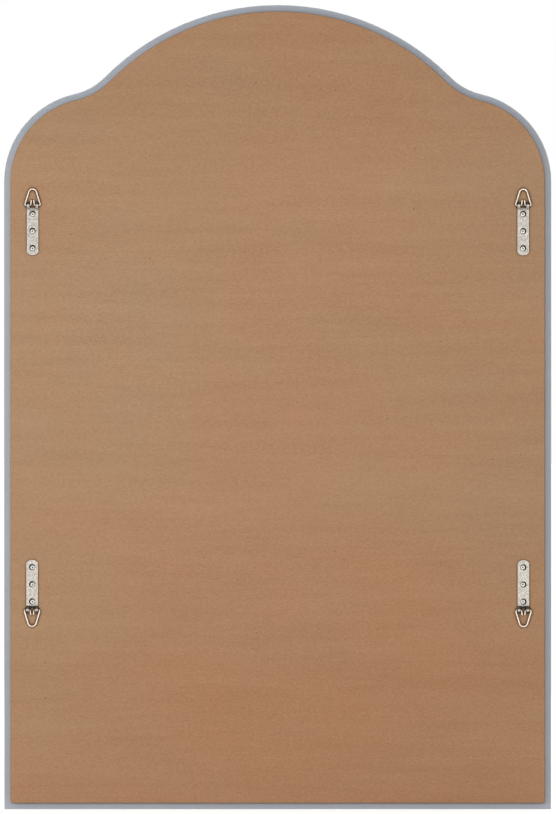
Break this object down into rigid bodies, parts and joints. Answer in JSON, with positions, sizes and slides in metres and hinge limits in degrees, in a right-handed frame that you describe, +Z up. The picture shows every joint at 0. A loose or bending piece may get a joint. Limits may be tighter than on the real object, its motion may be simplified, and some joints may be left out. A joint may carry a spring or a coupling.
{
  "type": "frameless mirror",
  "caption": "Frameless wall mirror with a scalloped arch top, polished glass edge, glued fibreboard back and strap hangers whose wire rings swing on a hinge.",
  "frame": {"origin": "middle of the glass's bottom edge, halfway through the glass's thickness", "axes": "+Z up; the reflecting side faces -Y and the wall side with the hangers faces +Y; left and right in names are as seen from behind, as in the picture, so left is the +X side"},
  "size_m": [0.61, 0.0191, 0.897],
  "materials": {
    "glass_pane": "polished",
    "silver_film": "polished",
    "back_paint": "satin",
    "backing_board": "matte",
    "foam_tape": "matte",
    "mirror_adhesive": "satin",
    "strap_plating": "satin",
    "ring_plating": "polished",
    "screw_plating": "satin"
  },
  "bodies": {
    "mirror": {"glass_pane": "glass_pane", "silver_film": "silver_film", "back_paint": "back_paint", "backing_board": "backing_board", "foam_tape_outer_left": "foam_tape", "foam_tape_inner_left": "foam_tape", "foam_tape_inner_right": "foam_tape", "foam_tape_outer_right": "foam_tape", "adhesive_bead_left": "mirror_adhesive", "adhesive_bead_centre": "mirror_adhesive", "adhesive_bead_right": "mirror_adhesive", "adhesive_bead_crown": "mirror_adhesive", "upper_left_strap": "strap_plating", "upper_left_screws": "screw_plating", "upper_right_strap": "strap_plating", "upper_right_screws": "screw_plating", "lower_left_strap": "strap_plating", "lower_left_screws": "screw_plating", "lower_right_strap": "strap_plating", "lower_right_screws": "screw_plating"},
    "upper_left_ring": {"upper_left_ring": "ring_plating"},
    "upper_right_ring": {"upper_right_ring": "ring_plating"},
    "lower_left_ring": {"lower_left_ring": "ring_plating"},
    "lower_right_ring": {"lower_right_ring": "ring_plating"}
  },
  "joints": [
    {"name": "upper_left_ring_hinge", "type": "hinge", "parent": "mirror", "child": "upper_left_ring", "pos_m": [0.2731, 0.0148, 0.67345], "axis": [-1, 0, 0], "range_deg": [0, 150]},
    {"name": "upper_right_ring_hinge", "type": "hinge", "parent": "mirror", "child": "upper_right_ring", "pos_m": [-0.27356, 0.0148, 0.67326], "axis": [-1, 0, 0], "range_deg": [0, 150]},
    {"name": "lower_left_ring_hinge", "type": "hinge", "parent": "mirror", "child": "lower_left_ring", "pos_m": [0.27363, 0.0148, 0.22277], "axis": [1, 0, 0], "range_deg": [-3.5, 148]},
    {"name": "lower_right_ring_hinge", "type": "hinge", "parent": "mirror", "child": "lower_right_ring", "pos_m": [-0.27375, 0.0148, 0.22246], "axis": [1, 0, 0], "range_deg": [-3.5, 148]}
  ]
}
